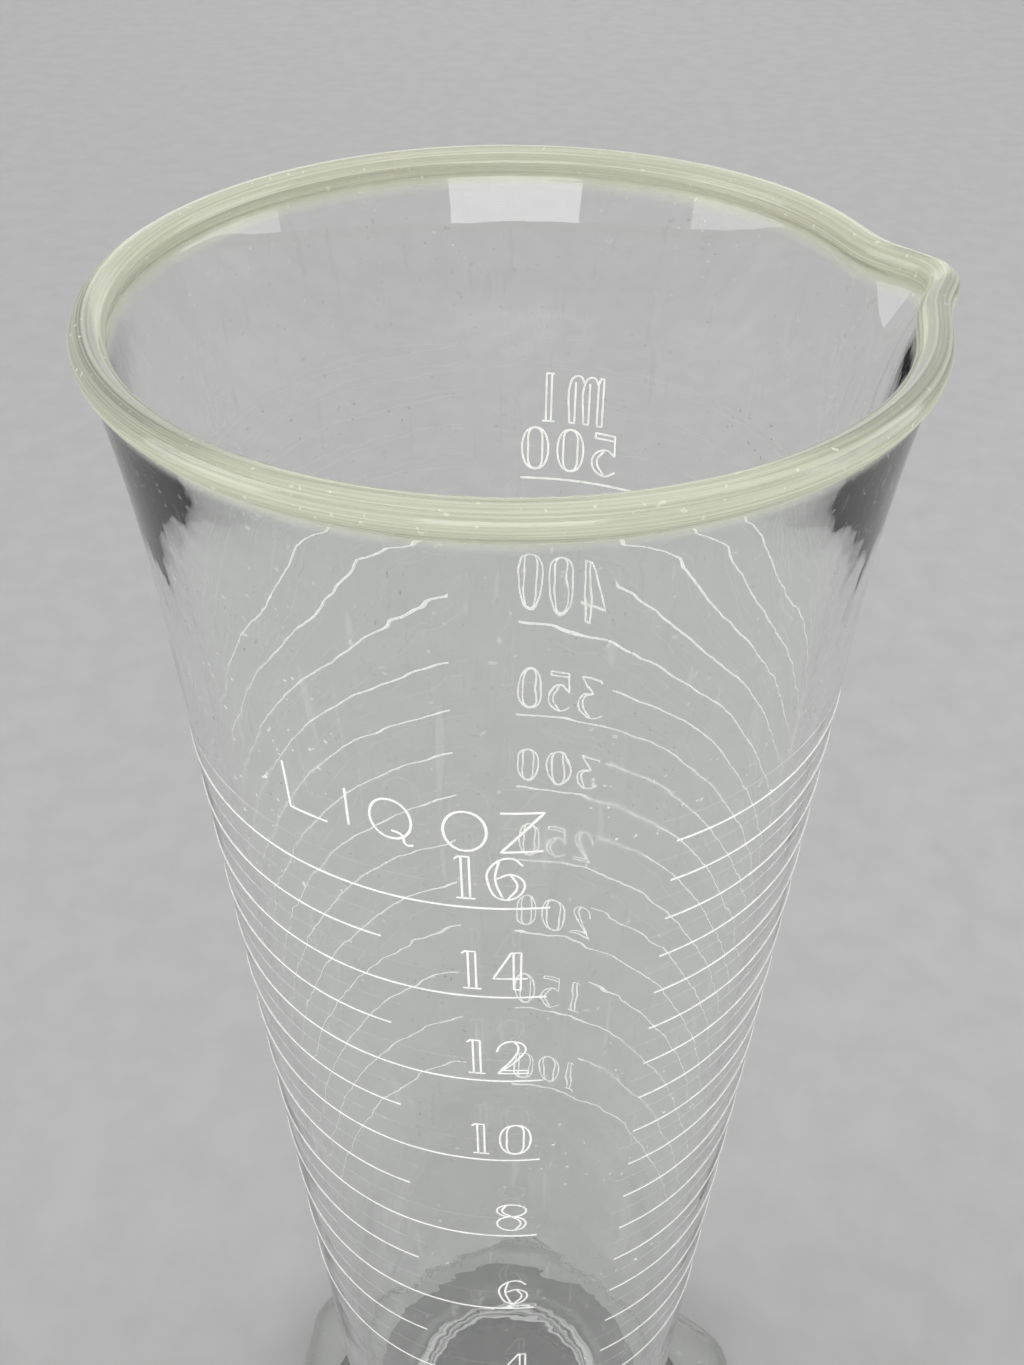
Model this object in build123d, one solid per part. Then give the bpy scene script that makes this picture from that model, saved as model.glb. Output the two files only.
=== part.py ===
from build123d import *
import math
import os

# Conical measuring graduate: one piece of clear glass with a pinched pouring spout, a beaded rim and
# a six-sided foot, and two scales of fired enamel lines on its outer wall.
# Millimetres, +Z up, origin on the cone's axis at the foot's underside.
# Angles round the axis are degrees from the front (-Y), positive towards the right (+X).

# Cavity floor, which the wall's base and the stem's waist are placed from
floor_height = 34.0
floor_corner_radius = 12.0
wall_base_above_floor = 8.8
waist_below_floor = 13.6

# Tapered wall
wall = 3.0
wall_base_radius = 28.75
flare_start_radius = 40.58

# Lip: the wall thins and flares out over the lip's height, and ends in a fire-polished bead
bead_height = 243.9
bead_radius = 1.83
lip_height = 27.7
lip_flare = 1.88
rim_wall = 2.0

# Pouring spout: a beak pulled out of the rim, fading out down the wall. The pinch that shapes it
# drew in the flank behind it much more than the flank in front
spout_angle = 98.0
spout_reach = 2.95
spout_half_angle = 7.5
back_flank_depth = 1.75
front_flank_depth = 0.3
flank_half_angle = 24.0
outline_points = 32
outline_crowding = 1.5
lip_sections = 4

# Stem between the cavity floor and the foot
stem_waist_radius = 14.8
foot_flare_ratio = 0.22

# Six-sided foot
foot_across_flats = 86.7
foot_corner_radius = 10.2
foot_thickness = 7.1
foot_top_edge_radius = 2.4
foot_bottom_edge_radius = 1.0
foot_land_width = 5.2
foot_corner_angle = 114.0
foot_ring_width = 5.25
foot_hollow_depth = 2.2

# Enamel scale lines
enamel_line_width = 0.34
enamel_thickness = 0.08
enamel_clearance = 0.005
millilitres_per_ounce = 29.5735
ounce_marks = range(4, 17)
ounce_number_angle = 7.0
ounce_short_angle = -20.3
ounce_back_angle = -164.0
millilitre_marks = range(100, 501, 25)
millilitre_number_angle = 178.9
millilitre_short_angle = 155.2
millilitre_front_angle = 26.5

# Sizes worked out from the values above
flare_start_height = bead_height - lip_height
wall_base_height = floor_height + wall_base_above_floor
stem_waist_height = floor_height - waist_below_floor
wall_slope = (flare_start_radius - wall_base_radius) / (flare_start_height - wall_base_height)
wall_across = wall * math.sqrt(1 + wall_slope**2)
foot_land_radius = foot_across_flats / 2 - foot_land_width
foot_hollow_radius = foot_across_flats / 2 - foot_ring_width


def outer_radius(height):
    """Outer radius of the wall, with the lip's flare above the straight taper."""
    level = max(0, height - flare_start_height) / lip_height
    return wall_base_radius + wall_slope * (height - wall_base_height) + lip_flare * level**2


def inner_radius(height):
    """Inner radius of the straight tapered wall."""
    return outer_radius(height) - wall_across


def from_x(angle):
    """Turns an angle from the front into one from +X."""
    return angle - 90


def spout_offset(away):
    """How far the rim leaves its circle, this many degrees behind the spout's middle."""
    beak = math.exp(-((away / spout_half_angle) ** 2))
    pinch = math.exp(-((away / flank_half_angle) ** 2)) * (1 - beak)
    flank_depth = back_flank_depth if away > 0 else front_flank_depth
    return spout_reach * beak - flank_depth * pinch


def rim_outline(radius, height, share):
    """Closed outline at one height, with this share of the full spout. Points crowd at the spout."""
    points = []
    turns = []
    for step in range(outline_points):
        part = 2 * step / outline_points - 1
        away = 180 * math.copysign(abs(part) ** outline_crowding, part)
        reach = radius + share * spout_offset(away)
        turn = math.radians(from_x(spout_angle) + away)
        points.append(Vector(reach * math.cos(turn), reach * math.sin(turn), height))
        turns.append((away + 180) / 360)
    return Edge.make_spline(points, periodic=True, parameters=turns + [1.0])


def lip_core(start_inset, rim_inset):
    """Solid of the lip up to the bead's centre, these far inside its outer skin at each end."""
    first = Rot(0, 0, from_x(spout_angle) - 180) * Circle(flare_start_radius - start_inset)
    sections = [Pos(0, 0, flare_start_height) * first]
    for section in range(1, lip_sections + 1):
        level = section / lip_sections
        height = flare_start_height + lip_height * level
        radius = outer_radius(height) - start_inset - (rim_inset - start_inset) * level
        sections.append(Face(Wire([rim_outline(radius, height, level**2)])))
    return loft(sections)


def turned(outline):
    """Revolves a closed outline, drawn as radius and height, round the axis."""
    return revolve(Plane.XZ * make_face(outline), Axis.Z)


def stem_and_wall():
    """Solid outside of the stem and the straight wall."""
    foot_edge = (foot_land_radius, foot_thickness)
    waist = (stem_waist_radius, stem_waist_height)
    wall_base = (wall_base_radius, wall_base_height)
    wall_top = (flare_start_radius, flare_start_height)
    inside_foot = foot_thickness / 2
    flare = Spline(foot_edge, waist, tangents=((-1, foot_flare_ratio), (0, 1)))
    bowl = Spline(waist, wall_base, tangents=((0, 1), (wall_slope, 1)))
    rest = Polyline(
        wall_base,
        wall_top,
        (0, flare_start_height),
        (0, inside_foot),
        (foot_land_radius, inside_foot),
        foot_edge,
    )
    return turned(flare + bowl + rest)


def straight_cavity():
    """Space inside the straight wall, down to the rounded floor."""
    floor_radius = inner_radius(floor_height)
    top_radius = inner_radius(flare_start_height)
    outline = Polyline(
        (0, floor_height),
        (floor_radius, floor_height),
        (top_radius, flare_start_height),
        (0, flare_start_height),
        (0, floor_height),
    )
    space = turned(outline)
    floor_edge = space.edges().filter_by(GeomType.CIRCLE).sort_by(Axis.Z)[0]
    return fillet(floor_edge, floor_corner_radius)


def foot():
    """Six-sided foot with rounded corners and edges, hollowed a little underneath."""
    corner_angle = from_x(foot_corner_angle)
    outline = RegularPolygon(foot_across_flats / 2, 6, major_radius=False, rotation=corner_angle)
    plate = extrude(fillet(outline.vertices(), foot_corner_radius), foot_thickness)
    plate = fillet(plate.edges().group_by(Axis.Z)[-1], foot_top_edge_radius)
    plate = fillet(plate.edges().group_by(Axis.Z)[0], foot_bottom_edge_radius)
    dome_radius = (foot_hollow_radius**2 + foot_hollow_depth**2) / (2 * foot_hollow_depth)
    return plate - Pos(0, 0, foot_hollow_depth - dome_radius) * Sphere(dome_radius)


def bead():
    """Fire-polished bead along the rim and round the spout, swept in two halves."""
    rim = rim_outline(outer_radius(bead_height) - rim_wall / 2, bead_height, 1.0)
    halves = []
    for first, last in ((0.0, 0.5), (0.5, 1.0)):
        path = rim.trim(first, last)
        section = Plane(path @ 0, z_dir=path % 0) * Circle(bead_radius)
        halves.append(sweep(section, path))
    return halves


cavity = straight_cavity()
cavity_volume = cavity.volume

outside = stem_and_wall() + lip_core(0, 0)
inside = cavity + lip_core(wall_across, rim_wall)
graduate_glass = (outside - inside + foot()).fuse(*bead())


def level_of(millilitres):
    """Height of the liquid's surface for a volume, from the true space inside the glass."""
    top_radius = inner_radius(flare_start_height)
    empty = cavity_volume - millilitres * 1000
    surface_radius = (top_radius**3 - 3 * wall_slope * empty / math.pi) ** (1 / 3)
    return flare_start_height - (top_radius - surface_radius) / wall_slope


def enamel_line(height, first_angle, last_angle):
    """One raised line round part of the wall, lying on its taper."""
    low = height - enamel_line_width / 2
    high = height + enamel_line_width / 2
    seat = enamel_clearance
    face = seat + enamel_thickness
    outline = Polyline(
        (outer_radius(low) + seat, low),
        (outer_radius(low) + face, low),
        (outer_radius(high) + face, high),
        (outer_radius(high) + seat, high),
        (outer_radius(low) + seat, low),
    )
    start = Rot(0, 0, from_x(first_angle)) * (Plane.XZ * make_face(outline))
    return revolve(start, Axis.Z, last_angle - first_angle)


def ounce_scale():
    """Whole ounces. Even ounces carry a number, so their lines run on to the front."""
    lines = []
    for ounces in ounce_marks:
        end = ounce_number_angle if ounces % 2 == 0 else ounce_short_angle
        lines.append(enamel_line(level_of(ounces * millilitres_per_ounce), ounce_back_angle, end))
    return Compound(children=lines)


def millilitre_scale():
    """Every 25 ml. Each 50 ml carries a number, so its line runs on to the back."""
    lines = []
    for millilitres in millilitre_marks:
        end = millilitre_number_angle if millilitres % 50 == 0 else millilitre_short_angle
        lines.append(enamel_line(level_of(millilitres), millilitre_front_angle, end))
    return Compound(children=lines)


os.makedirs("parts", exist_ok=True)
export_step(graduate_glass, "parts/graduate_glass.step")
export_step(ounce_scale(), "parts/ounce_scale_lines.step")
export_step(millilitre_scale(), "parts/millilitre_scale_lines.step")

print("cavity to the flare, ml:", round(cavity_volume / 1000, 1))
for ounces in (ounce_marks[0], ounce_marks[-1]):
    print(ounces, "oz line height:", round(level_of(ounces * millilitres_per_ounce), 2))
print("glass valid:", graduate_glass.is_valid, "solids:", len(graduate_glass.solids()))
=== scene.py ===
import math

import bmesh
import bpy
from bpy.props import FloatProperty, FloatVectorProperty, PointerProperty
from mathutils import Matrix, Vector, noise
from mathutils.geometry import interpolate_bezier


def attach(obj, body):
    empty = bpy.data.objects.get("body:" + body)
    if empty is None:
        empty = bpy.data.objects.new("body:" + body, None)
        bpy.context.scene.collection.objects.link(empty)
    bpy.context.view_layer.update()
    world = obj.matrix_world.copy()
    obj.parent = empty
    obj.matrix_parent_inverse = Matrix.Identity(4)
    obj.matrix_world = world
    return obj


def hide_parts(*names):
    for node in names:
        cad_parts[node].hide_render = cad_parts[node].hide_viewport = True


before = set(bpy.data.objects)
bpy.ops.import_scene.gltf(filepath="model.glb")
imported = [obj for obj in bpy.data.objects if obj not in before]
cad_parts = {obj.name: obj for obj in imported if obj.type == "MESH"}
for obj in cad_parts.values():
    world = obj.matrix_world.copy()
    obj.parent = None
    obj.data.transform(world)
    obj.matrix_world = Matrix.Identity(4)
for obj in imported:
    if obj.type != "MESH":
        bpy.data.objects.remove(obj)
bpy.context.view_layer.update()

bl_info = {
    "name": "Conical Measuring Graduate",
    "version": (1, 0, 0),
    "blender": (4, 5, 0),
    "location": "View3D > Sidebar > Graduate",
    "description": "Clear glass measuring graduate with enamel ounce and millilitre scales",
    "category": "Add Mesh",
}

# Shapes are drawn in millimetres with the foot's underside at zero, and scaled once at the end.
# Angles round the axis are degrees from the front (-Y), positive towards the right (+X).
MM = 0.001

# Wall and cavity
WALL = 3.0
RIM_WALL = 2.0
WALL_BASE = Vector((28.75, 42.8))
FLARE_START = Vector((40.58, 216.2))
SLOPE = (FLARE_START.x - WALL_BASE.x) / (FLARE_START.y - WALL_BASE.y)
WALL_ACROSS = WALL * math.hypot(1, SLOPE)
FLOOR_HEIGHT = 34.0
FLOOR_CORNER = 12.0
CAVITY_ML = 566.4
ML_PER_OUNCE = 29.5735

# Lip and bead
LIP_HEIGHT = 27.7
LIP_FLARE = 1.88
LIP_THINNING_POWER = 4
BEAD_HEIGHT = FLARE_START.y + LIP_HEIGHT
BEAD_RADIUS = 1.83
BEAD_ROOT_DROP = 2.1
# The bead's round part, in degrees about its centre, and how far past it a point still counts
BEAD_ARC_START = -54.0
BEAD_ARC_END = 211.0
BEAD_ARCS = 4
BEAD_MARGIN = 1.02
SPOUT_FULL_HEIGHT = BEAD_HEIGHT - 1.9

# Spout
SPOUT_ANGLE = 98.0
SPOUT_REACH = 2.95
SPOUT_HALF_ANGLE = 7.5
BACK_FLANK = 1.75
FRONT_FLANK = 0.3
FLANK_HALF_ANGLE = 24.0

# Stem and foot. The handles are how far the foot's flare and the bowl hold on to each end's direction
WAIST = Vector((14.8, 20.4))
FOOT_FLARE_RATIO = 0.22
FOOT_FLARE_HANDLES = (10.2, 12.2)
BOWL_HANDLES = (12.1, 11.3)
FOOT_FLAT = 43.35
FOOT_CORNER = 10.2
FOOT_CORNER_ANGLE = 114.0
FOOT_THICKNESS = 7.1
FOOT_TOP_EDGE = 2.4
FOOT_BOTTOM_EDGE = 1.0
FOOT_CIRCLE = 38.1
HOLLOW_DEPTH = 2.2

# Fineness of the turned glass
TURN_STEPS = 240
CURVE_STEPS = 8
INNER_WALL_CUTS = 9

# Ripple of the inner wall: lumps per millimetre, broad and fine, and where in the noise they start
BROAD_RIPPLE = 0.07
FINE_RIPPLE = 0.21
FINE_RIPPLE_SHARE = 0.35
RIPPLE_START = Vector((3, 7, 1))

# Scales: where each line starts and ends
OUNCES = range(4, 17)
OUNCE_NUMBER_END = 7.0
OUNCE_SHORT_END = -20.3
OUNCE_BACK_END = -164.0
MILLILITRES = range(100, 501, 25)
ML_NUMBER_END = 178.9
ML_SHORT_END = 155.2
ML_FRONT_END = 26.5
ENAMEL_CLEARANCE = 0.02
LINE_UNSTEADINESS = 0.035
LINE_STEPS = 96
STROKE_STEPS = 6

# Left end of each ounce number, and the right end of the millilitre numbers
OUNCE_NUMBER_STARTS = {16: -7.4, 14: -6.9, 12: -6.6, 10: -6.3, 8: -1.6, 6: -1.1, 4: 0.0}
ML_NUMBER_RIGHT = 178.6

# Unit letters of the ounce scale: letter, left end's angle, foot's height, width and height
OUNCE_UNIT = (
    ("L", -34.3, 202.6, 4.9, 6.4),
    ("I", -24.1, 203.4, 4.3, 5.2),
    ("Q", -19.8, 202.8, 4.4, 5.9),
    ("O", -8.8, 202.9, 4.35, 5.6),
    ("Z", -0.6, 202.9, 4.35, 5.6),
)

# Unit letters of the millilitre scale
ML_UNIT_RIGHT = 174.7
ML_UNIT_FOOT = 209.5
ML_UNIT_WIDTH = 3.45
ML_UNIT_GAP = 1.9
ML_UNIT_HEIGHT = 6.9

# Materials of the finished pieces, named apart from the ones that come with the solids
GLASS_FINISH = "graduate_clear_glass"
ENAMEL_FINISH = "fired_enamel"
FLOOR_FINISH = "plain_floor"

# Stage, in metres: each lamp's place, aim, width, height and power
FLOOR_REACH = 4.0
FLOOR_DROP = 0.0002
LAMPS = (
    ("left_softbox", (-1.0, -0.25, 0.45), (0, 0, 0.15), 0.7, 0.8, 9.0),
    ("right_softbox", (1.0, 0.1, 0.45), (0, 0, 0.15), 0.7, 0.8, 9.0),
    ("front_softbox", (0.0, -1.2, 0.35), (0, 0, 0.15), 0.9, 0.5, 14.0),
    ("back_softbox", (0.0, 1.3, 0.55), (0, 0, 0.15), 1.2, 0.7, 5.0),
    ("top_softbox", (0.0, 0.35, 1.3), (0, 0, 0.1), 0.9, 0.9, 4.0),
)

# Camera: millimetres for its place and lens
CAMERA_PLACE = Vector((2.0698, -152.137, 310.432))
CAMERA_RIGHT = Vector((0.9998746, 0.0153313, 0.0039616))
CAMERA_UP = Vector((-0.0124669, 0.6079212, 0.7938995))
CAMERA_BACK = Vector((0.0097632, -0.7938493, 0.6080362))
CAMERA_LENS = 40.818
CAMERA_SENSOR = 36.0
CAMERA_NEAR = 0.01

# Each letter: its width as a share of a digit's, and its strokes as (is it curved, is it closed,
# points). Points run from 0 to 1 across and up.
LETTERS = {
    "0": (1.0, [
        (True, True, [(0.5, 0), (1, 0.5), (0.5, 1), (0, 0.5)]),
        (True, True, [(0.5, 0.01), (0.77, 0.5), (0.5, 0.99), (0.23, 0.5)]),
    ]),
    "1": (0.56, [
        (False, False, [(0.02, 0.93), (0.2, 1), (0.72, 1), (0.74, 0)]),
        (False, False, [(0.33, 0.99), (0.35, 0)]),
        (False, False, [(0.05, 0), (1, 0)]),
    ]),
    "2": (1.0, [
        (True, False, [(0.0, 0.68), (0.14, 0.9), (0.46, 1), (0.86, 0.84), (0.66, 0.47), (0.03, 0.03)]),
        (True, False, [(0.56, 0.98), (0.66, 0.8), (0.5, 0.48), (0.12, 0.12)]),
        (False, False, [(0.03, 0.02), (1, 0.02)]),
        (False, False, [(0.12, 0.12), (0.97, 0.11)]),
    ]),
    "3": (0.95, [
        (False, False, [(0.04, 0.93), (0.1, 0.99), (0.86, 0.96), (0.38, 0.62)]),
        (True, False, [(0.38, 0.62), (0.82, 0.55), (1, 0.3), (0.78, 0.05), (0.4, 0), (0.02, 0.14)]),
        (True, False, [(0.46, 0.6), (0.74, 0.5), (0.8, 0.28), (0.6, 0.03)]),
    ]),
    "4": (1.0, [
        (False, False, [(0.52, 1), (0, 0.3), (1, 0.3)]),
        (False, False, [(0.5, 1), (0.8, 1), (0.8, 0), (0.6, 0), (0.58, 0.99)]),
    ]),
    "5": (0.97, [
        (False, False, [(0.9, 0.88), (0.9, 1), (0.12, 0.98), (0.1, 0.5)]),
        (False, False, [(0.14, 0.87), (0.9, 0.88)]),
        (True, False, [(0.1, 0.52), (0.5, 0.63), (1, 0.32), (0.55, 0), (0.04, 0.13)]),
        (True, False, [(0.5, 0.62), (0.8, 0.33), (0.5, 0.01)]),
    ]),
    "6": (1.0, [
        (True, False, [(0.95, 0.82), (0.62, 1), (0.12, 0.83), (0, 0.4), (0.45, 0), (1, 0.3),
                       (0.68, 0.61), (0.2, 0.5)]),
        (True, False, [(0.3, 0.94), (0.2, 0.5), (0.4, 0.03)]),
        (True, False, [(0.62, 0.61), (0.8, 0.32), (0.55, 0.02)]),
    ]),
    "8": (1.0, [
        (True, True, [(0.5, 0.54), (1, 0.77), (0.5, 1), (0, 0.77)]),
        (True, True, [(0.5, 0), (1, 0.27), (0.5, 0.54), (0, 0.27)]),
        (True, False, [(0.3, 0.96), (0.18, 0.74), (0.5, 0.55), (0.82, 0.3), (0.64, 0.03)]),
    ]),
    "m": (1.42, [
        (False, False, [(0.17, 0), (0.02, 0), (0.02, 1), (0.12, 1), (0.17, 0.86), (0.17, 0)]),
        (False, False, [(0.57, 0), (0.42, 0), (0.42, 0.86)]),
        (False, False, [(0.98, 0), (0.83, 0), (0.83, 0.86)]),
        (True, False, [(0.17, 0.84), (0.3, 0.99), (0.46, 0.97), (0.57, 0.84), (0.57, 0)]),
        (True, False, [(0.57, 0.84), (0.7, 0.99), (0.87, 0.97), (0.98, 0.84), (0.98, 0)]),
    ]),
    "l": (0.56, [
        (False, False, [(0.12, 1), (0.7, 1), (0.7, 0)]),
        (False, False, [(0.32, 1), (0.32, 0)]),
        (False, False, [(0.05, 0), (0.97, 0)]),
    ]),
    "L": (1.0, [(False, False, [(0, 1), (0.03, 0), (1, 0.02)])]),
    "I": (0.2, [(False, False, [(0.5, 1), (0.5, 0)])]),
    "Q": (1.0, [
        (True, True, [(0.5, 0.06), (1, 0.5), (0.5, 1), (0, 0.5)]),
        (True, False, [(0.5, 0.26), (0.74, 0.2), (0.86, -0.04), (1.02, -0.02)]),
    ]),
    "O": (1.0, [(True, True, [(0.5, 0), (1, 0.5), (0.5, 1), (0, 0.5)])]),
    "Z": (1.0, [(False, False, [(0, 1), (1, 1), (0.02, 0), (1, 0.02)])]),
}


class GraduateGlassSettings(bpy.types.PropertyGroup):
    """Sizes and colours of the glass."""

    ripple: FloatProperty(
        name="Wall ripple",
        description="How far the inside of the wall strays from a true cone",
        default=0.00005,
        min=0.0,
        unit="LENGTH",
    )
    colour: FloatVectorProperty(
        name="Glass colour",
        description="Tint of the thin wall",
        default=(0.975, 0.985, 0.975),
        size=3,
        min=0.0,
        max=1.0,
        subtype="COLOR",
    )
    # This colour tints the thick rim glass and also colours the painted light laid over the bead
    bead_colour: FloatVectorProperty(
        name="Bead colour",
        description="Tint that gathers in the thick glass of the rim",
        default=(0.92, 0.945, 0.75),
        size=3,
        min=0.0,
        max=1.0,
        subtype="COLOR",
    )
    ground_colour: FloatVectorProperty(
        name="Ground ring colour",
        description="Colour of the ring under the foot that was ground flat",
        default=(0.86, 0.87, 0.85),
        size=3,
        min=0.0,
        max=1.0,
        subtype="COLOR",
    )
    index: FloatProperty(
        name="Refractive index", description="Refractive index of soda glass", default=1.5, min=1.0
    )


class GraduateScaleSettings(bpy.types.PropertyGroup):
    """Sizes and colours of the enamel scales."""

    line_width: FloatProperty(
        name="Line width", description="Width of a scale line", default=0.00034, min=0.0, unit="LENGTH"
    )
    number_stroke: FloatProperty(
        name="Number stroke",
        description="Width of one stroke of a number",
        default=0.00028,
        min=0.0,
        unit="LENGTH",
    )
    letter_stroke: FloatProperty(
        name="Letter stroke",
        description="Width of one stroke of the ounce scale's unit letters",
        default=0.00034,
        min=0.0,
        unit="LENGTH",
    )
    digit_width: FloatProperty(
        name="Digit width",
        description="Width of one whole digit",
        default=0.00375,
        min=0.0,
        unit="LENGTH",
    )
    digit_gap: FloatProperty(
        name="Digit gap", description="Gap between two digits", default=0.0013, min=0.0, unit="LENGTH"
    )
    number_height: FloatProperty(
        name="Number height", description="Height of a number", default=0.0063, min=0.0, unit="LENGTH"
    )
    number_lift: FloatProperty(
        name="Number lift",
        description="Gap between a line and the number that stands on it",
        default=0.0014,
        min=0.0,
        unit="LENGTH",
    )
    relief: FloatProperty(
        name="Relief",
        description="How far the enamel stands out of the wall",
        default=0.00008,
        min=0.0,
        unit="LENGTH",
    )
    colour: FloatVectorProperty(
        name="Enamel colour",
        description="Colour of the fired enamel",
        default=(0.95, 0.95, 0.92),
        size=3,
        min=0.0,
        max=1.0,
        subtype="COLOR",
    )
    # Painted light: emission strength on the enamel's side that faces the glass, standing in for light
    # passed through the thin enamel
    glow: FloatProperty(
        name="Enamel glow",
        description="Light that the thin enamel passes on to its inner side",
        default=0.7,
        min=0.0,
    )


class GraduateStageSettings(bpy.types.PropertyGroup):
    """Floor, lamps and surroundings."""

    floor_colour: FloatVectorProperty(
        name="Floor colour",
        description="Colour of the plain floor",
        default=(0.38, 0.38, 0.38),
        size=3,
        min=0.0,
        max=1.0,
        subtype="COLOR",
    )
    sky: FloatProperty(
        name="Room light", description="Strength of the even light from the room", default=0.8, min=0.0
    )
    backdrop: FloatProperty(
        name="Backdrop", description="Brightness of the backdrop that is seen", default=0.5, min=0.0
    )
    lamps: FloatProperty(
        name="Lamps", description="Strength of the soft lamps together", default=0.5, min=0.0
    )


# Shader maths


class Value:
    """A node's output that takes part in plain sums."""

    def __init__(self, tree, output):
        self.tree = tree
        self.output = output

    def combine(self, operation, first, second):
        return self.tree.node("ShaderNodeMath", {"operation": operation}, {0: first, 1: second})

    def __add__(self, other):
        return self.combine("ADD", self, other)

    __radd__ = __add__

    def __sub__(self, other):
        return self.combine("SUBTRACT", self, other)

    def __rsub__(self, other):
        return self.combine("SUBTRACT", other, self)

    def __mul__(self, other):
        return self.combine("MULTIPLY", self, other)

    __rmul__ = __mul__

    def at_most(self, other):
        return self.combine("MINIMUM", self, other)

    def at_least(self, other):
        return self.combine("MAXIMUM", self, other)


class Finish:
    """The shader of a new material or world, and the one way that nodes are added to it."""

    def __init__(self, owner):
        owner.use_nodes = True
        self.owner = owner
        self.nodes = owner.node_tree.nodes
        self.links = owner.node_tree.links
        self.nodes.clear()

    def node(self, kind, settings=None, inputs=None, output=0):
        """Adds a node, sets its settings and then its sockets, and returns one output."""
        made = self.nodes.new(kind)
        for key, setting in (settings or {}).items():
            setattr(made, key, setting)
        for key, given in (inputs or {}).items():
            if isinstance(given, Value):
                self.links.new(given.output, made.inputs[key])
            else:
                made.inputs[key].default_value = given
        return Value(self, made.outputs[output]) if made.outputs else None

    def place(self, scale=(1, 1, 1), turn=(0, 0, 0)):
        """Object coordinates, stretched and turned."""
        here = self.node("ShaderNodeTexCoord", output="Object")
        return self.node("ShaderNodeMapping", inputs={"Vector": here, "Scale": scale, "Rotation": turn})

    def axis(self, name):
        """One of the object's coordinates, in metres."""
        here = self.node("ShaderNodeTexCoord", output="Object")
        return self.node("ShaderNodeSeparateXYZ", inputs={"Vector": here}, output=name)

    def cloud(self, grain, detail=2.0, roughness=0.5, where=None):
        """Noise whose lumps are about this many metres across."""
        return self.node(
            "ShaderNodeTexNoise",
            inputs={
                "Vector": where or self.place(),
                "Scale": 1 / grain,
                "Detail": detail,
                "Roughness": roughness,
            },
        )

    def step(self, source, low, high, start=0.0, end=1.0):
        """Smooth step from start to end while source goes from low to high."""
        return self.node(
            "ShaderNodeMapRange",
            {"interpolation_type": "SMOOTHSTEP"},
            {"Value": source, "From Min": low, "From Max": high, "To Min": start, "To Max": end},
        )

    def blend(self, share, first, second):
        """Colour between two colours."""
        return self.node(
            "ShaderNodeMix",
            {"data_type": "RGBA"},
            {"Factor": share, "A": first, "B": second},
            output="Result",
        )

    def bump(self, height, distance):
        """Normal that follows a height."""
        return self.node(
            "ShaderNodeBump", inputs={"Height": height, "Distance": distance, "Strength": 1.0}
        )

    def finish(self, surface, kind="ShaderNodeOutputMaterial"):
        """Ends the shader, and returns the material or world."""
        self.node(kind, inputs={"Surface": surface})
        return self.owner


def rgba(colour, share=1.0):
    """A setting's colour as a socket takes it, darkened or lightened by a share."""
    return (colour[0] * share, colour[1] * share, colour[2] * share, 1.0)


# Geometry of the wall


def outer_radius(height):
    """Outer radius of the wall, lip included."""
    level = max(0.0, height - FLARE_START.y) / LIP_HEIGHT
    return WALL_BASE.x + SLOPE * (height - WALL_BASE.y) + LIP_FLARE * level**2


def inner_radius(height):
    """Inner radius of the wall, which thins towards the rim."""
    level = max(0.0, height - FLARE_START.y) / LIP_HEIGHT
    return outer_radius(height) - WALL_ACROSS + (WALL_ACROSS - RIM_WALL) * level**LIP_THINNING_POWER


def level_of(millilitres):
    """Height of the liquid's surface for a volume."""
    top = inner_radius(FLARE_START.y)
    empty = (CAVITY_ML - millilitres) * 1000
    surface = (top**3 - 3 * SLOPE * empty / math.pi) ** (1 / 3)
    return FLARE_START.y - (top - surface) / SLOPE


def spout_offset(away):
    """How far the rim leaves its circle, this many degrees behind the spout's middle."""
    beak = math.exp(-((away / SPOUT_HALF_ANGLE) ** 2))
    pinch = math.exp(-((away / FLANK_HALF_ANGLE) ** 2)) * (1 - beak)
    depth = BACK_FLANK if away > 0 else FRONT_FLANK
    return SPOUT_REACH * beak - depth * pinch


def hexagon_radius(angle, inset):
    """Distance from the axis to the foot's rounded outline, drawn in by an inset."""
    flat = FOOT_FLAT - inset
    corner = FOOT_CORNER - inset
    sixth = math.radians(30)
    from_corner = (angle - FOOT_CORNER_ANGLE + 30) % 60 - 30
    from_flat = math.radians(30 - abs(from_corner))
    centre = (flat - corner) / math.cos(sixth)
    if from_flat < math.atan2(centre * math.sin(sixth), flat):
        return flat / math.cos(from_flat)
    turn = math.radians(from_corner)
    return centre * math.cos(turn) + math.sqrt(max(0.0, corner**2 - (centre * math.sin(turn)) ** 2))


def on_wall(angle, height, away):
    """Point on the wall in millimetres, at an angle from the front, this far off its surface."""
    turn = math.radians(angle - 90)
    radius = outer_radius(height) + away
    return Vector((radius * math.cos(turn), radius * math.sin(turn), height))


def add_object(name, bm, material, slot, *nodes):
    """Turns a mesh drawn in millimetres into a finished piece that stands for CAD nodes."""
    bm.transform(Matrix.Scale(MM, 4))
    bmesh.ops.remove_doubles(bm, verts=bm.verts, dist=1e-8)
    bmesh.ops.recalc_face_normals(bm, faces=bm.faces)
    for face in bm.faces:
        face.smooth = True
    mesh = bpy.data.meshes.new(name)
    bm.to_mesh(mesh)
    bm.free()
    mesh.materials.append(material)
    piece = bpy.data.objects.new(name, mesh)
    bpy.context.scene.collection.objects.link(piece)
    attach(piece, "root")
    if nodes:
        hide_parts(*nodes)


# Glass


def lip_slope(height, thinning):
    """Slope of one skin of the lip, for how much the wall thins towards it."""
    level = (height - FLARE_START.y) / LIP_HEIGHT
    drawn_in = thinning * LIP_THINNING_POWER * level ** (LIP_THINNING_POWER - 1)
    return SLOPE + (2 * LIP_FLARE * level + drawn_in) / LIP_HEIGHT


def leg(start, start_tangent, end, end_tangent, reach=None):
    """One smooth piece of the outline, with handles a third of the way unless a reach is given."""
    chord = (end - start).length
    first, last = reach or (chord / 3, chord / 3)
    return (start, start + start_tangent.normalized() * first, end - end_tangent.normalized() * last, end)


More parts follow.
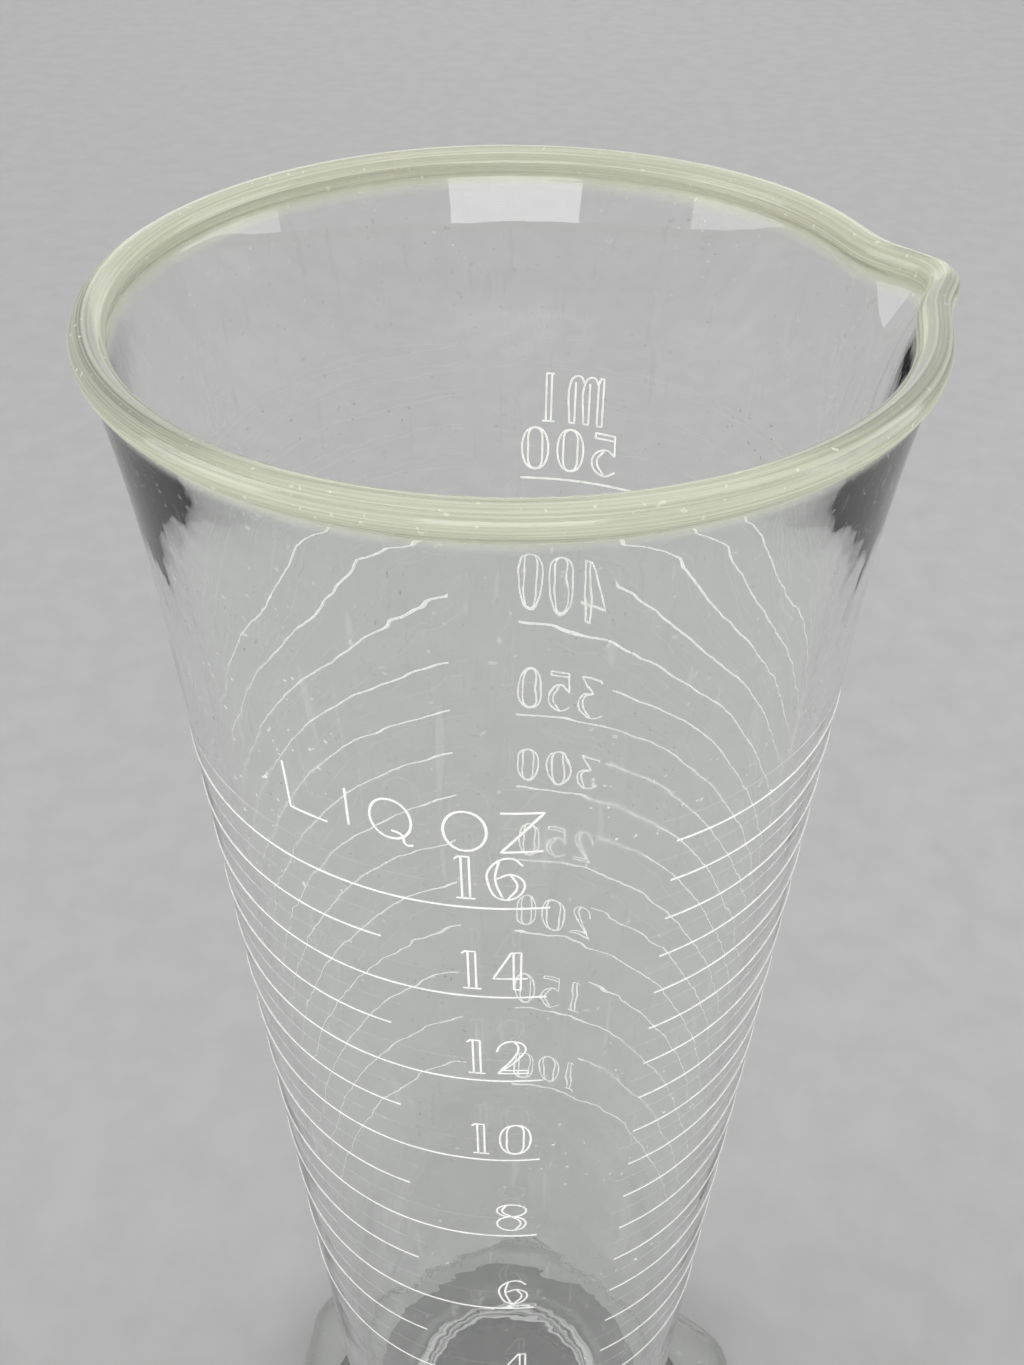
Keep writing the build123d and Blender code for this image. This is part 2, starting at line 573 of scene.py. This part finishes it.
def straight(start, end):
    """A straight piece of the outline."""
    return leg(start, end - start, end, end - start)


def arc(centre, radius, start_angle, end_angle):
    """Part of a circle, between two angles in degrees."""
    sweep = math.radians(end_angle - start_angle)
    reach = abs(4 / 3 * math.tan(sweep / 4) * radius)
    ends = []
    for angle in (start_angle, end_angle):
        turn = math.radians(angle)
        out = Vector((math.cos(turn), math.sin(turn)))
        tangent = Vector((-out.y, out.x)) * math.copysign(1, sweep)
        ends += [centre + out * radius, tangent]
    return leg(*ends, reach=(reach, reach))


def glass_outline():
    """Outline of the glass as radius and height, from under the foot round to the cavity's floor."""
    up = Vector((0, 1))
    outward = Vector((1, 0))
    wall_way = Vector((SLOPE, 1))
    hollow_edge = Vector((FOOT_CIRCLE, 0))
    hollow_slope = Vector((FOOT_CIRCLE, -2 * HOLLOW_DEPTH))
    land_edge = Vector((FOOT_CIRCLE, FOOT_THICKNESS))
    low_edge = Vector((FOOT_FLAT - FOOT_BOTTOM_EDGE, FOOT_BOTTOM_EDGE))
    top_edge = Vector((FOOT_FLAT - FOOT_TOP_EDGE, FOOT_THICKNESS - FOOT_TOP_EDGE))
    legs = [
        leg(Vector((0, HOLLOW_DEPTH)), outward, hollow_edge, hollow_slope),
        straight(hollow_edge, Vector((low_edge.x, 0))),
        arc(low_edge, FOOT_BOTTOM_EDGE, -90, 0),
        straight(Vector((FOOT_FLAT, low_edge.y)), Vector((FOOT_FLAT, top_edge.y))),
        arc(top_edge, FOOT_TOP_EDGE, 0, 90),
        straight(Vector((top_edge.x, FOOT_THICKNESS)), land_edge),
        leg(land_edge, Vector((-1, FOOT_FLARE_RATIO)), WAIST, up, reach=FOOT_FLARE_HANDLES),
        leg(WAIST, up, WALL_BASE, wall_way, reach=BOWL_HANDLES),
        straight(WALL_BASE, FLARE_START),
    ]
    bead = Vector((outer_radius(BEAD_HEIGHT) - RIM_WALL / 2, BEAD_HEIGHT))
    root = BEAD_HEIGHT - BEAD_ROOT_DROP
    outer_root = Vector((outer_radius(root), root))
    outer_way = Vector((lip_slope(root, 0), 1))
    inner_root = Vector((inner_radius(root), root))
    inner_way = Vector((lip_slope(root, WALL_ACROSS - RIM_WALL), 1))
    turn = (BEAD_ARC_END - BEAD_ARC_START) / BEAD_ARCS
    round_bead = [
        arc(bead, BEAD_RADIUS, BEAD_ARC_START + turn * part, BEAD_ARC_START + turn * (part + 1))
        for part in range(BEAD_ARCS)
    ]
    first, last = round_bead[0], round_bead[-1]
    inner_start = Vector((inner_radius(FLARE_START.y), FLARE_START.y))
    legs += [
        leg(FLARE_START, wall_way, outer_root, outer_way),
        leg(outer_root, outer_way, first[0], first[1] - first[0]),
        *round_bead,
        leg(last[3], last[3] - last[2], inner_root, -inner_way),
        leg(inner_root, -inner_way, inner_start, -wall_way),
    ]
    tilt = math.degrees(math.atan(SLOPE))
    corner = Vector((inner_radius(FLOOR_HEIGHT), FLOOR_HEIGHT))
    back = FLOOR_CORNER / math.tan(math.radians(90 + tilt) / 2)
    centre = corner + Vector((-back, FLOOR_CORNER))
    wall_end = corner + wall_way.normalized() * back
    legs += [
        straight(inner_start, wall_end),
        arc(centre, FLOOR_CORNER, -tilt, -90),
        straight(Vector((centre.x, FLOOR_HEIGHT)), Vector((0, FLOOR_HEIGHT))),
    ]
    return legs, bead, len(legs) - 3


def foot_share(radius, height):
    """How far a point of the foot is on its way from the circle to the six sides."""
    if height > FOOT_THICKNESS + 1e-3 or radius <= FOOT_CIRCLE + 1e-3:
        return 0.0
    return min(1.0, (radius - FOOT_CIRCLE) / (FOOT_FLAT - FOOT_TOP_EDGE - FOOT_CIRCLE))


def spout_share(height):
    """How much of the spout a height of the lip has."""
    if height <= FLARE_START.y:
        return 0.0
    return min(1.0, (height - FLARE_START.y) / (SPOUT_FULL_HEIGHT - FLARE_START.y)) ** 2


def ripple_share(place, radius):
    """How far the inner wall strays at a place, from -1 to 1. Nothing else ripples."""
    low, high = FLOOR_HEIGHT + FLOOR_CORNER, BEAD_HEIGHT - BEAD_RADIUS
    if not low < place.z < high or radius >= outer_radius(place.z) - 1:
        return 0.0
    broad = noise.noise(place * BROAD_RIPPLE + RIPPLE_START)
    return broad + FINE_RIPPLE_SHARE * noise.noise(place * FINE_RIPPLE)


def shape_glass(bm, ripple):
    """Pulls the spout, cuts the foot to six sides and ripples the inner wall."""
    for vert in bm.verts:
        radius = math.hypot(vert.co.x, vert.co.y)
        if radius < 1e-3:
            continue
        height = vert.co.z
        angle = math.degrees(math.atan2(vert.co.x, -vert.co.y))
        target = radius
        square = foot_share(radius, height)
        if square:
            target += square * (hexagon_radius(angle, FOOT_FLAT - radius) - radius)
        share = spout_share(height)
        if share:
            target += share * spout_offset((angle - SPOUT_ANGLE + 180) % 360 - 180)
        target += ripple * ripple_share(vert.co, radius)
        vert.co.x *= target / radius
        vert.co.y *= target / radius


def build_glass(settings):
    """Turns the outline round the axis and shapes what isn't round."""
    legs, bead, inner_wall = glass_outline()
    bm = bmesh.new()
    across = bm.verts.layers.float.new("across_bead")
    points = []
    for index, (start, start_handle, end_handle, end) in enumerate(legs):
        steps = CURVE_STEPS * (INNER_WALL_CUTS if index == inner_wall else 1)
        flat = [Vector((p.x, 0, p.y)) for p in (start, start_handle, end_handle, end)]
        points += interpolate_bezier(*flat, steps + 1)[0 if index == 0 else 1 :]
    chain = [bm.verts.new(point) for point in points]
    for vert in chain:
        arm = Vector((vert.co.x, vert.co.z)) - bead
        if arm.length < BEAD_RADIUS * BEAD_MARGIN:
            vert[across] = (math.degrees(math.atan2(arm.y, arm.x)) % 360) / 360
    edges = [bm.edges.new(pair) for pair in zip(chain, chain[1:])]
    bmesh.ops.spin(
        bm,
        geom=chain + edges,
        cent=(0, 0, 0),
        axis=(0, 0, 1),
        angle=math.tau,
        steps=TURN_STEPS,
        use_merge=True,
        use_duplicate=False,
    )
    bmesh.ops.remove_doubles(bm, verts=bm.verts, dist=1e-4)
    shape_glass(bm, settings.ripple / MM)
    return bm


def glass_finish(settings):
    """Clear glass: drawn streaks, ripples, dust and fine scratches, a tinted bead partly covered by
    painted light, and a ground ring.
    """
    look = Finish(bpy.data.materials.new(GLASS_FINISH))
    height = look.axis("Z")
    bead = look.step(height, (BEAD_HEIGHT - 3.4) * MM, (BEAD_HEIGHT - 1.6) * MM)
    across = look.node("ShaderNodeAttribute", {"attribute_name": "across_bead"}, output="Fac")
    long_way = look.place(scale=(14, 14, 14))
    banded = look.node(
        "ShaderNodeVectorMath",
        {"operation": "ADD"},
        {
            0: long_way,
            1: look.node("ShaderNodeCombineXYZ", inputs={"X": across * 9.0, "Y": across * 23.0}),
        },
    )
    streaks = look.node(
        "ShaderNodeTexNoise", inputs={"Vector": banded, "Scale": 1.6, "Detail": 5.0, "Roughness": 0.62}
    )
    bead_tint = look.blend(
        look.step(streaks, 0.36, 0.64), rgba(settings.bead_colour, 0.86), rgba(settings.bead_colour)
    )
    tint = look.blend(bead, rgba(settings.colour), bead_tint)

    ripples = look.cloud(0.0042, detail=1.0)
    drawn = look.cloud(0.0016, detail=2.0, where=look.place(scale=(1, 1, 0.045)))
    grain = ripples + drawn * 0.15 + streaks * bead * 1.2
    normal = look.bump(grain, 0.000014)

    haze = look.step(look.cloud(0.021, detail=4.0), 0.5, 0.75)
    clear = look.node(
        "ShaderNodeBsdfPrincipled",
        inputs={
            "Base Color": tint,
            "Roughness": look.step(haze, 0.0, 1.0, 0.0, 0.05),
            "IOR": settings.index,
            "Transmission Weight": 1.0,
            "Normal": normal,
        },
    )

    dust = look.step(look.cloud(0.0009, detail=1.0), 0.71, 0.76) * haze.at_least(0.25)
    scratch_way = look.place(scale=(1, 1, 0.03), turn=(0.16, 0.1, 0))
    scratches = look.step(look.cloud(0.0011, detail=0.0, where=scratch_way), 0.755, 0.80)
    marks = dust * 0.7 + scratches * 0.07 * (1 - bead) + haze * 0.02
    ring = look.step(height, 0.15 * MM, 0.35 * MM, 1.0, 0.0)
    reach = look.node(
        "ShaderNodeVectorMath", {"operation": "LENGTH"}, {0: look.place()}, output="Value"
    )
    ring = ring * look.step(reach, (FOOT_CIRCLE - 0.3) * MM, (FOOT_CIRCLE + 0.1) * MM)
    worn = look.step(look.cloud(0.0009, detail=3.0), 0.3, 0.7, 0.88, 1.0)
    # Diffuse surface for the ground ring under the foot and, on the bead, for the painted light
    ground = look.node(
        "ShaderNodeBsdfPrincipled",
        inputs={
            "Base Color": look.blend(
                bead,
                look.blend(worn, rgba(settings.ground_colour, 0.8), rgba(settings.ground_colour)),
                look.blend(streaks, rgba(settings.bead_colour, 0.72), rgba(settings.bead_colour)),
            ),
            "Roughness": 0.62,
        },
    )
    # Painted light: an opaque pale share of the bead, 24 to 44 percent with the streaks, stands in for
    # light carried round the thick rim
    body = bead * look.step(streaks, 0.3, 0.7, 0.24, 0.44)
    cover = (marks + body + ring * 0.92).at_most(0.92)
    return look.finish(look.node("ShaderNodeMixShader", inputs={0: cover, 1: clear, 2: ground}))


# Enamel


def trace(strokes, width, resolution, relief):
    """Rounded strokes as a flattened mesh on a flat sheet, in millimetres, just clear of the wall."""
    curve = bpy.data.curves.new("strokes", "CURVE")
    curve.dimensions = "3D"
    curve.bevel_depth = width / 2
    curve.bevel_resolution = 1
    curve.resolution_u = resolution
    curve.use_fill_caps = True
    for curved, closed, points in strokes:
        spline = curve.splines.new("BEZIER")
        spline.bezier_points.add(len(points) - 1)
        for knot, (x, y) in zip(spline.bezier_points, points):
            knot.co = knot.handle_left = knot.handle_right = (x, y, 0)
            if curved:
                knot.handle_left_type = knot.handle_right_type = "AUTO"
        spline.use_cyclic_u = closed
    holder = bpy.data.objects.new("strokes", curve)
    sheet = bmesh.new()
    sheet.from_mesh(holder.to_mesh())
    holder.to_mesh_clear()
    bpy.data.objects.remove(holder)
    bpy.data.curves.remove(curve)
    for vert in sheet.verts:
        vert.co.z = ENAMEL_CLEARANCE + (vert.co.z / width + 0.5) * relief
    return sheet


def fire_on(bm, sheet, angle, height, unsteadiness=0.0):
    """Bends a flat sheet of strokes round the wall, with its left end and foot at this place."""
    radius = outer_radius(height)
    for vert in sheet.verts:
        along, up, out = vert.co
        wander = unsteadiness * noise.noise(Vector((along * 0.3, height, 0.7)))
        swell = 1 + 4 * unsteadiness * noise.noise(Vector((along * 0.9, height, 5.3)))
        vert.co = on_wall(angle + math.degrees(along / radius), height + up * swell + wander, out)
    part = bpy.data.meshes.new("part")
    sheet.to_mesh(part)
    sheet.free()
    bm.from_mesh(part)
    bpy.data.meshes.remove(part)


def word_strokes(word, digit_width, gap, tall):
    """Strokes of a word, and its width."""
    strokes = []
    left = 0.0
    for letter in word:
        share, shapes = LETTERS[letter]
        wide = share * digit_width
        for curved, closed, points in shapes:
            strokes.append((curved, closed, [(left + x * wide, y * tall) for x, y in points]))
        left += wide + gap
    return strokes, left - gap


def add_line(bm, height, first_angle, last_angle, settings):
    """One scale line between two angles."""
    length = math.radians(last_angle - first_angle) * outer_radius(height)
    strokes = [(False, False, [(0, 0), (length, 0)])]
    sheet = trace(strokes, settings.line_width / MM, LINE_STEPS, settings.relief / MM)
    fire_on(bm, sheet, first_angle, height, unsteadiness=LINE_UNSTEADINESS)


def enamel_finish(settings):
    """Fired enamel: uneven cover, a little chalky, with a low sheen, and painted light on the side that
    faces the glass.
    """
    look = Finish(bpy.data.materials.new(ENAMEL_FINISH))
    patchy = look.step(look.cloud(0.0014, detail=4.0, roughness=0.65), 0.34, 0.62)
    fine = look.cloud(0.00012, detail=2.0)
    colour = look.blend(patchy, rgba(settings.colour, 0.84), rgba(settings.colour))
    outward = look.node(
        "ShaderNodeVectorMath",
        {"operation": "DOT_PRODUCT"},
        {0: look.place(scale=(1, 1, 0)), 1: look.node("ShaderNodeTexCoord", output="Normal")},
        output="Value",
    )
    # Painted light: emission only on the side that faces the glass, standing in for the light that thin
    # enamel passes on
    painted_light_side = look.step(outward, -0.01, 0.0, 1.0, 0.0)
    return look.finish(
        look.node(
            "ShaderNodeBsdfPrincipled",
            inputs={
                "Base Color": colour,
                "Roughness": look.step(fine, 0.3, 0.7, 0.42, 0.6),
                "Emission Color": look.blend(painted_light_side, (0, 0, 0, 1), colour),
                "Emission Strength": settings.glow,
                "Normal": look.bump(fine + patchy * 0.5, 0.00002),
            },
        )
    )


def enamel(settings):
    """The enamel's material, made once."""
    return bpy.data.materials.get(ENAMEL_FINISH) or enamel_finish(settings)


class GRADUATE_OT_add_glass(bpy.types.Operator):
    """Adds the glass: foot, stem, wall, bead and spout in one piece"""

    bl_idname = "graduate.add_glass"
    bl_label = "Add Glass"

    def execute(self, context):
        settings = context.scene.graduate_glass
        add_object(
            "graduate_body", build_glass(settings), glass_finish(settings), "clear_glass", "graduate_glass"
        )
        return {"FINISHED"}


class GRADUATE_OT_add_lines(bpy.types.Operator):
    """Adds the lines of the ounce scale and the millilitre scale"""

    bl_idname = "graduate.add_lines"
    bl_label = "Add Scale Lines"

    def execute(self, context):
        settings = context.scene.graduate_scale
        bm = bmesh.new()
        for ounces in OUNCES:
            end = OUNCE_NUMBER_END if ounces % 2 == 0 else OUNCE_SHORT_END
            add_line(bm, level_of(ounces * ML_PER_OUNCE), OUNCE_BACK_END, end, settings)
        add_object("ounce_lines", bm, enamel(settings), "white_enamel", "ounce_scale_lines")
        bm = bmesh.new()
        for millilitres in MILLILITRES:
            end = ML_NUMBER_END if millilitres % 50 == 0 else ML_SHORT_END
            add_line(bm, level_of(millilitres), ML_FRONT_END, end, settings)
        add_object("millilitre_lines", bm, enamel(settings), "white_enamel", "millilitre_scale_lines")
        return {"FINISHED"}


class GRADUATE_OT_add_numbers(bpy.types.Operator):
    """Adds the open-stroked numbers of both scales"""

    bl_idname = "graduate.add_numbers"
    bl_label = "Add Numbers"

    def execute(self, context):
        settings = context.scene.graduate_scale
        wide, gap = settings.digit_width / MM, settings.digit_gap / MM
        tall, lift = settings.number_height / MM, settings.number_lift / MM
        stroke, relief = settings.number_stroke / MM, settings.relief / MM
        bm = bmesh.new()
        for ounces, start in OUNCE_NUMBER_STARTS.items():
            foot = level_of(ounces * ML_PER_OUNCE) + lift
            strokes, _ = word_strokes(str(ounces), wide, gap, tall)
            fire_on(bm, trace(strokes, stroke, STROKE_STEPS, relief), start, foot)
        add_object("ounce_numbers", bm, enamel(settings), "white_enamel")
        bm = bmesh.new()
        for millilitres in MILLILITRES:
            if millilitres % 50:
                continue
            foot = level_of(millilitres) + lift
            strokes, length = word_strokes(str(millilitres), wide, gap, tall)
            start = ML_NUMBER_RIGHT - math.degrees(length / outer_radius(foot))
            fire_on(bm, trace(strokes, stroke, STROKE_STEPS, relief), start, foot)
        add_object("millilitre_numbers", bm, enamel(settings), "white_enamel")
        return {"FINISHED"}


class GRADUATE_OT_add_units(bpy.types.Operator):
    """Adds the unit letters over each scale"""

    bl_idname = "graduate.add_units"
    bl_label = "Add Unit Letters"

    def execute(self, context):
        settings = context.scene.graduate_scale
        relief = settings.relief / MM
        bm = bmesh.new()
        for letter, start, foot, wide, tall in OUNCE_UNIT:
            strokes, _ = word_strokes(letter, wide, 0, tall)
            fire_on(bm, trace(strokes, settings.letter_stroke / MM, STROKE_STEPS, relief), start, foot)
        strokes, length = word_strokes("ml", ML_UNIT_WIDTH, ML_UNIT_GAP, ML_UNIT_HEIGHT)
        start = ML_UNIT_RIGHT - math.degrees(length / outer_radius(ML_UNIT_FOOT))
        sheet = trace(strokes, settings.number_stroke / MM, STROKE_STEPS, relief)
        fire_on(bm, sheet, start, ML_UNIT_FOOT)
        add_object("unit_letters", bm, enamel(settings), "white_enamel")
        return {"FINISHED"}


# Stage


def stage_object(name, data):
    """Adds an object that belongs to the stage."""
    piece = bpy.data.objects.new(name, data)
    bpy.context.scene.collection.objects.link(piece)
    return piece


def aim(piece, place, target):
    """Puts a lamp in its place and turns it to its target."""
    piece.location = place
    piece.rotation_mode = "QUATERNION"
    piece.rotation_quaternion = (Vector(target) - Vector(place)).to_track_quat("-Z", "Y")


def add_floor(settings):
    """The plain floor, just under the foot."""
    bm = bmesh.new()
    bmesh.ops.create_grid(bm, x_segments=1, y_segments=1, size=FLOOR_REACH)
    bmesh.ops.translate(bm, verts=bm.verts, vec=(0, 0, -FLOOR_DROP))
    mesh = bpy.data.meshes.new("floor")
    bm.to_mesh(mesh)
    bm.free()
    look = Finish(bpy.data.materials.new(FLOOR_FINISH))
    mottle = look.step(look.cloud(0.012, detail=5.0), 0.3, 0.7)
    colour = look.blend(mottle, rgba(settings.floor_colour, 0.97), rgba(settings.floor_colour, 1.03))
    surface = look.node(
        "ShaderNodeBsdfPrincipled",
        inputs={"Base Color": colour, "Roughness": 0.8, "Specular IOR Level": 0.25},
    )
    mesh.materials.append(look.finish(surface))
    stage_object("floor", mesh)


def add_lamps(settings):
    """The soft lamps, which aren't seen through the glass."""
    for name, place, target, wide, tall, power in LAMPS:
        light = bpy.data.lights.new(name, "AREA")
        light.shape = "RECTANGLE"
        light.size = wide
        light.size_y = tall
        light.energy = power * settings.lamps
        lamp = stage_object(name, light)
        lamp.visible_transmission = False
        aim(lamp, place, target)


def room_light(settings):
    """Even light from the room, and a dimmer backdrop where it is seen."""
    look = Finish(bpy.data.worlds.new("room"))
    seen = look.node("ShaderNodeLightPath", output="Is Camera Ray").at_least(
        look.node("ShaderNodeLightPath", output="Is Transmission Ray")
    )
    strength = settings.sky + seen * (settings.backdrop - settings.sky)
    room = look.node("ShaderNodeBackground", inputs={"Color": (1, 1, 1, 1), "Strength": strength})
    return look.finish(room, "ShaderNodeOutputWorld")


def add_camera():
    """The camera, at the photo's viewing angle."""
    data = bpy.data.cameras.new("camera")
    data.sensor_width = CAMERA_SENSOR
    data.lens = CAMERA_LENS
    data.clip_start = CAMERA_NEAR
    camera = bpy.data.objects.new("camera", data)
    bpy.context.scene.collection.objects.link(camera)
    turn = Matrix((CAMERA_RIGHT, CAMERA_UP, CAMERA_BACK)).transposed().to_4x4()
    camera.matrix_world = Matrix.Translation(CAMERA_PLACE * MM) @ turn
    return camera


class GRADUATE_OT_set_stage(bpy.types.Operator):
    """Adds the plain floor, the soft lamps, the room light and the camera"""

    bl_idname = "graduate.set_stage"
    bl_label = "Set Stage"

    def execute(self, context):
        scene = context.scene
        settings = scene.graduate_stage
        add_floor(settings)
        add_lamps(settings)
        scene.world = room_light(settings)
        scene.camera = add_camera()
        scene.view_settings.view_transform = "Standard"
        return {"FINISHED"}


class GRADUATE_PT_sidebar(bpy.types.Panel):
    """Lists the pieces and their settings"""

    bl_idname = "GRADUATE_PT_sidebar"
    bl_label = "Measuring Graduate"
    bl_space_type = "VIEW_3D"
    bl_region_type = "UI"
    bl_category = "Graduate"

    def draw(self, context):
        layout = self.layout
        for settings in SETTINGS:
            group = getattr(context.scene, settings)
            box = layout.box()
            for name in group.__annotations__:
                box.prop(group, name)
        for operator in OPERATORS:
            layout.operator(operator.bl_idname)


SETTINGS = {
    "graduate_glass": GraduateGlassSettings,
    "graduate_scale": GraduateScaleSettings,
    "graduate_stage": GraduateStageSettings,
}
OPERATORS = (
    GRADUATE_OT_add_glass,
    GRADUATE_OT_add_lines,
    GRADUATE_OT_add_numbers,
    GRADUATE_OT_add_units,
    GRADUATE_OT_set_stage,
)


def register():
    for name, group in SETTINGS.items():
        bpy.utils.register_class(group)
        setattr(bpy.types.Scene, name, PointerProperty(type=group))
    for operator in OPERATORS:
        bpy.utils.register_class(operator)
    bpy.utils.register_class(GRADUATE_PT_sidebar)


def unregister():
    bpy.utils.unregister_class(GRADUATE_PT_sidebar)
    for operator in reversed(OPERATORS):
        bpy.utils.unregister_class(operator)
    for name, group in SETTINGS.items():
        delattr(bpy.types.Scene, name)
        bpy.utils.unregister_class(group)


def main():
    """Adds every piece and the stage."""
    register()
    bpy.ops.graduate.add_glass()
    bpy.ops.graduate.add_lines()
    bpy.ops.graduate.add_numbers()
    bpy.ops.graduate.add_units()
    bpy.ops.graduate.set_stage()


if __name__ == "__main__":
    main()
